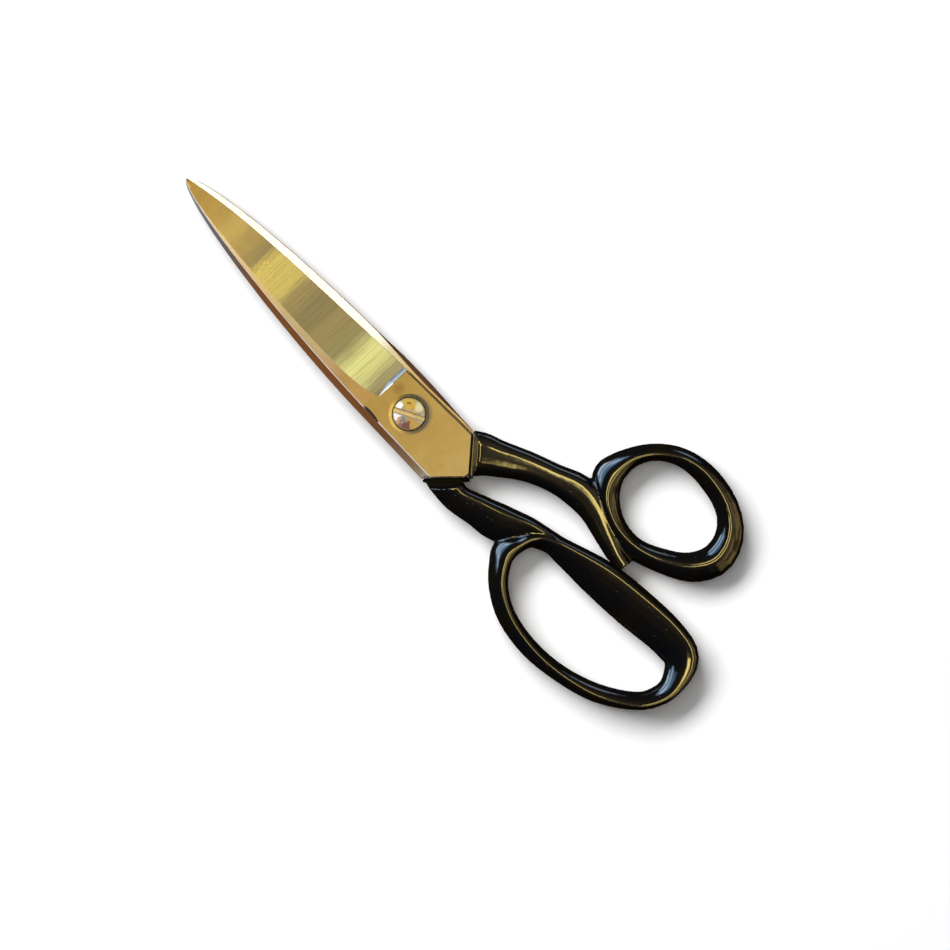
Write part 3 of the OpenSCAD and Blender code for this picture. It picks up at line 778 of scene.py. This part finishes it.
# What the polished parts mirror: a warm ceiling, a yellow ring lamp, blinds at -X, a grey-blue wall at +Y
# and a shelf-lined corner. Places are azimuth and tilt from straight above, in degrees

roomLook = {"warm": (65, 26), "warmTones": [(0.0, "#020306"), (0.25, "#070c18"), (0.5, "#1c1e24"),
                                            (0.66, "#38342c"), (0.8, "#7c6846"), (0.895, "#c6a878"),
                                            (0.93, "#f0dca8"), (1.0, "#f8e8b8")], "floor": "#24170b",
            "lamp": (180, 2.5), "lampTone": "#ffe488",
            "lampArcs": [(-125, 1.0), (-112, 0.0), (-38, 0.0), (-25, 1.0), (106, 1.0), (112, 0.0),
                         (131, 0.0), (138, 1.0)], "blinds": (190, 60), "wall": (112, 82),
            "corner": (35, 66), "lampRing": [(15, 0.0), (12, 1.0), (9, 1.0), (7.2, 0.0)], "lampPower": 38,
            "blindsPower": 26, "wallPower": 9, "cornerPower": 9}
world = bpy.data.worlds.new("studioRoom")
bpy.context.scene.world = world
world.use_nodes = True
sky = world.node_tree
way = addNode(sky, "ShaderNodeTexCoord").outputs["Generated"]
height = addNode(sky, "ShaderNodeSeparateXYZ", links={"Vector": way}).outputs["Z"]


def addNearness(spot):
    # cosine of the angle between the direction seen and a spot given as azimuth and tilt from the zenith
    a, t = math.radians(spot[0]), math.radians(spot[1])
    towards = (math.cos(a) * math.sin(t), math.sin(a) * math.sin(t), math.cos(t))
    return addNode(sky, "ShaderNodeVectorMath", {"operation": "DOT_PRODUCT", 1: towards},
                   {0: way}).outputs["Value"]


def addGlow(room, spot, inside, outside, tone, strength, pattern=None):
    # adds a soft-edged light of that strength to the room, its inside and outside radius in degrees
    amount = addNode(sky, "ShaderNodeMapRange",
                     {"interpolation_type": "SMOOTHSTEP", "From Min": math.cos(math.radians(outside)),
                      "From Max": math.cos(math.radians(inside))},
                     {"Value": addNearness(spot)}).outputs["Result"]
    light = addNode(sky, "ShaderNodeMix", {"data_type": "RGBA", "Factor": amount, "A": (0, 0, 0, 1),
                                           "B": tuple(c * strength for c in linear(tone)[:3]) + (1,)})
    if pattern:
        light = addNode(sky, "ShaderNodeMix", {"data_type": "RGBA", "blend_type": "MULTIPLY", "Factor": 1.0,
                                               "A": light, "B": pattern})
    return addNode(sky, "ShaderNodeMix",
                   {"data_type": "RGBA", "blend_type": "ADD", "Factor": 1.0, "A": room, "B": light})


room = addNode(sky, "ShaderNodeValToRGB", {"stops": roomLook["warmTones"]},
               {"Fac": addNearness(roomLook["warm"])})
below = addNode(sky, "ShaderNodeMapRange", {"From Min": 0.02, "From Max": -0.12},
                {"Value": height}).outputs["Result"]
room = addNode(sky, "ShaderNodeMix",
               {"data_type": "RGBA", "Factor": below, "A": room, "B": roomLook["floor"]})
ringStops = [(math.cos(math.radians(t)), tone) for t, tone in roomLook["lampRing"]]
ring = addNode(sky, "ShaderNodeValToRGB", {"stops": ringStops}, {"Fac": addNearness(roomLook["lamp"])})
axes = addNode(sky, "ShaderNodeSeparateXYZ", links={"Vector": way})
turnRound = addNode(sky, "ShaderNodeMath", {"operation": "ARCTAN2"},
                    {0: axes.outputs["Y"], 1: axes.outputs["X"]}).outputs[0]
heading = addNode(sky, "ShaderNodeMapRange", {"From Min": -math.pi, "From Max": math.pi},
                  {"Value": turnRound}).outputs["Result"]
arcStops = [(a / 360 + 0.5, tone) for a, tone in roomLook["lampArcs"]]
isArc = addNode(sky, "ShaderNodeValToRGB", {"stops": arcStops}, {"Fac": heading})
arcs = addNode(sky, "ShaderNodeMix", {"data_type": "RGBA", "blend_type": "MULTIPLY", "Factor": 1.0,
                                      "A": ring, "B": isArc})
lampLight = tuple(c * roomLook["lampPower"] for c in linear(roomLook["lampTone"])[:3]) + (1,)
lit = addNode(sky, "ShaderNodeMix", {"data_type": "RGBA", "blend_type": "MULTIPLY", "Factor": 1.0,
                                     "A": arcs, "B": lampLight})
room = addNode(sky, "ShaderNodeMix", {"data_type": "RGBA", "blend_type": "ADD", "Factor": 1.0, "A": room,
                                      "B": lit})
slats = addNode(sky, "ShaderNodeValToRGB",
                {"stops": [(0.16, "#41556a"), (0.24, "#a3bdcc"), (0.3, "#ffffff"), (0.36, "#7f9db4"),
                           (0.5, "#5f7f9c"), (0.58, "#eef6ff"), (0.63, "#8aa8c0"), (0.74, "#4c6880")]},
                {"Fac": height})
room = addGlow(room, roomLook["blinds"], 20, 27, "#e6f0fa", roomLook["blindsPower"], slats)
room = addGlow(room, roomLook["wall"], 4, 14, "#9fb2c4", roomLook["wallPower"])
shelves = addNode(sky, "ShaderNodeTexNoise", {"Scale": 3.5, "Detail": 2.0}, {"Vector": way}).outputs["Fac"]
shelfRows = addNode(sky, "ShaderNodeValToRGB", {"stops": [(0.4, 0.15), (0.6, 1.0)]}, {"Fac": shelves})
room = addGlow(room, roomLook["corner"], 10, 55, "#c0a468", roomLook["cornerPower"], shelfRows)
isCamera = addNode(sky, "ShaderNodeLightPath").outputs["Is Camera Ray"]
seen = addNode(sky, "ShaderNodeMix", {"data_type": "RGBA", "Factor": isCamera, "A": room, "B": (1, 1, 1, 1)})
fill(sky, sky.nodes["Background"], {"Color": seen})
world.cycles_visibility.diffuse = False

cameraLook = {"turn": 46.63, "centre": (0.0318, 0.0022), "distance": 2.5, "frameWidth": 0.3382}
cameraData = bpy.data.cameras.new("camera")
camera = bpy.data.objects.new("camera", cameraData)
bpy.context.scene.collection.objects.link(camera)
cameraData.sensor_width = 36
cameraData.lens = 36 * cameraLook["distance"] / cameraLook["frameWidth"]
cameraData.clip_end = 20
camera.location = (*cameraLook["centre"], 0.008 + cameraLook["distance"])
camera.rotation_euler = (0, 0, math.radians(cameraLook["turn"]))
bpy.context.scene.camera = camera
print("stage made")
